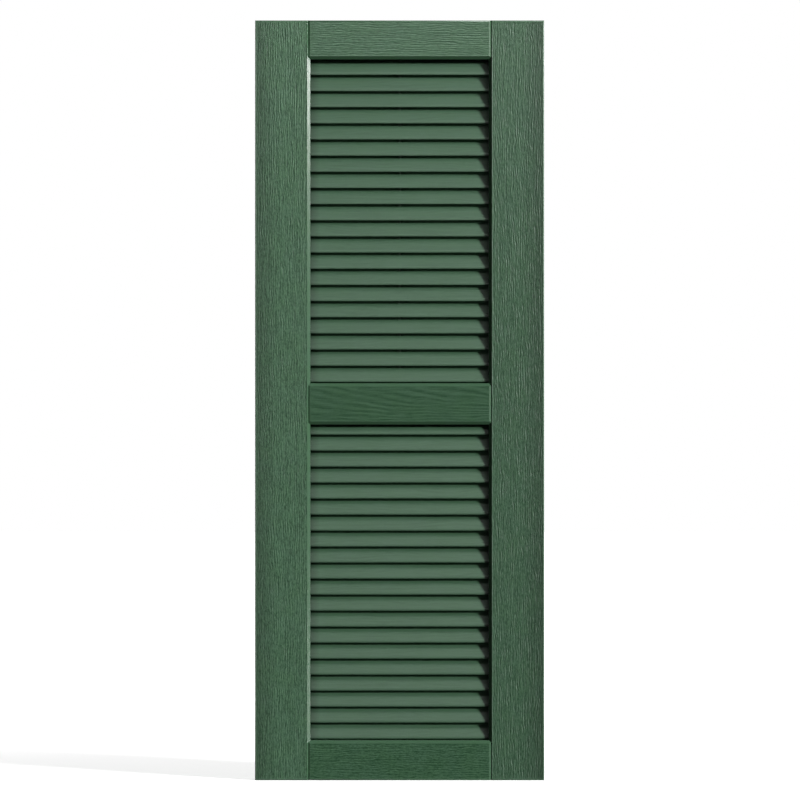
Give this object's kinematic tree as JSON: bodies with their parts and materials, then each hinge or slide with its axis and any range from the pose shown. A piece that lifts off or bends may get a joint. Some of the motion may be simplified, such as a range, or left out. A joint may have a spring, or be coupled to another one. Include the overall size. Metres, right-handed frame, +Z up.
{
  "type": "louvered shutter",
  "caption": "Tall green exterior shutter panel with fixed sloping louvers in two bays between stiles and rails, flat at the back for a wall.",
  "frame": {"origin": "centre of the panel's flat back, on the middle rail's back face", "axes": "+X across the panel to the right seen from the front, +Z up, +Y out of the back towards the wall; the louvered front faces -Y"},
  "size_m": [0.377, 0.032, 0.9906],
  "materials": {
    "stile_finish": "satin green, embossed upright wood grain",
    "rail_finish": "satin green, embossed level wood grain",
    "louver_finish": "satin green, fine wood grain"
  },
  "bodies": {
    "root": {"stile_left": "stile_finish", "stile_right": "stile_finish", "top_rail": "rail_finish", "middle_rail": "rail_finish", "bottom_rail": "rail_finish", "louver_stay": "louver_finish", "louver_upper_01": "louver_finish", "louver_upper_02": "louver_finish", "louver_upper_03": "louver_finish", "louver_upper_04": "louver_finish", "louver_upper_05": "louver_finish", "louver_upper_06": "louver_finish", "louver_upper_07": "louver_finish", "louver_upper_08": "louver_finish", "louver_upper_09": "louver_finish", "louver_upper_10": "louver_finish", "louver_upper_11": "louver_finish", "louver_upper_12": "louver_finish", "louver_upper_13": "louver_finish", "louver_upper_14": "louver_finish", "louver_upper_15": "louver_finish", "louver_upper_16": "louver_finish", "louver_upper_17": "louver_finish", "louver_upper_18": "louver_finish", "louver_upper_19": "louver_finish", "louver_upper_20": "louver_finish", "louver_lower_01": "louver_finish", "louver_lower_02": "louver_finish", "louver_lower_03": "louver_finish", "louver_lower_04": "louver_finish", "louver_lower_05": "louver_finish", "louver_lower_06": "louver_finish", "louver_lower_07": "louver_finish", "louver_lower_08": "louver_finish", "louver_lower_09": "louver_finish", "louver_lower_10": "louver_finish", "louver_lower_11": "louver_finish", "louver_lower_12": "louver_finish", "louver_lower_13": "louver_finish", "louver_lower_14": "louver_finish", "louver_lower_15": "louver_finish", "louver_lower_16": "louver_finish", "louver_lower_17": "louver_finish", "louver_lower_18": "louver_finish", "louver_lower_19": "louver_finish", "louver_lower_20": "louver_finish"}
  },
  "joints": []
}
